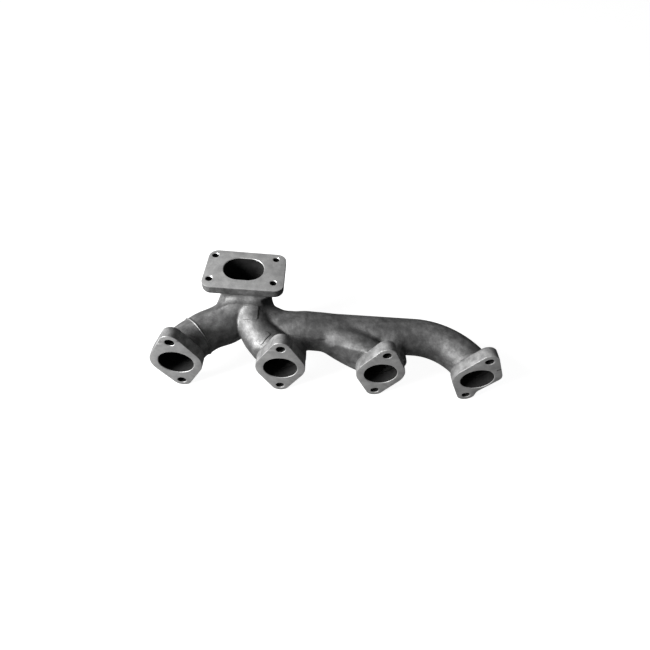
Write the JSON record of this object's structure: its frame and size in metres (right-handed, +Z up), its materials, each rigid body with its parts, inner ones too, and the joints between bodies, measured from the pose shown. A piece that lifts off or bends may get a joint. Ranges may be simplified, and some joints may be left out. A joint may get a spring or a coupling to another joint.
{
  "type": "exhaust manifold",
  "caption": "Cast iron exhaust manifold with diamond port flanges, curved runners and a log that rises through a neck to a rectangular turbocharger flange.",
  "frame": {"origin": "centre of port 1 on the port face plane, at the turbocharger end of the engine side", "axes": "+X along the engine through the port centres towards port 4, +Y away from the cylinder head, +Z up, out of the turbocharger flange"},
  "size_m": [0.4529, 0.1563, 0.108],
  "materials": {
    "cast_iron": "satin as-cast",
    "machined_iron": "machined faces"
  },
  "bodies": {
    "root": {"port_flange_1": "machined_iron", "port_flange_2": "machined_iron", "port_flange_3": "machined_iron", "port_flange_4": "machined_iron", "runner_1_collar": "cast_iron", "runner_2_collar": "cast_iron", "runner_3_collar": "cast_iron", "runner_4_collar": "cast_iron", "runner_1": "cast_iron", "runner_2": "cast_iron", "runner_3": "cast_iron", "runner_4": "cast_iron", "runner_1_bead": "cast_iron", "runner_2_pad": "cast_iron", "runner_2_web": "cast_iron", "runner_3_web": "cast_iron", "collector_log": "cast_iron", "collector_branch": "cast_iron", "collector_neck": "cast_iron", "neck_pad": "cast_iron", "turbo_pedestal": "cast_iron", "turbo_flange": "machined_iron"}
  },
  "joints": []
}
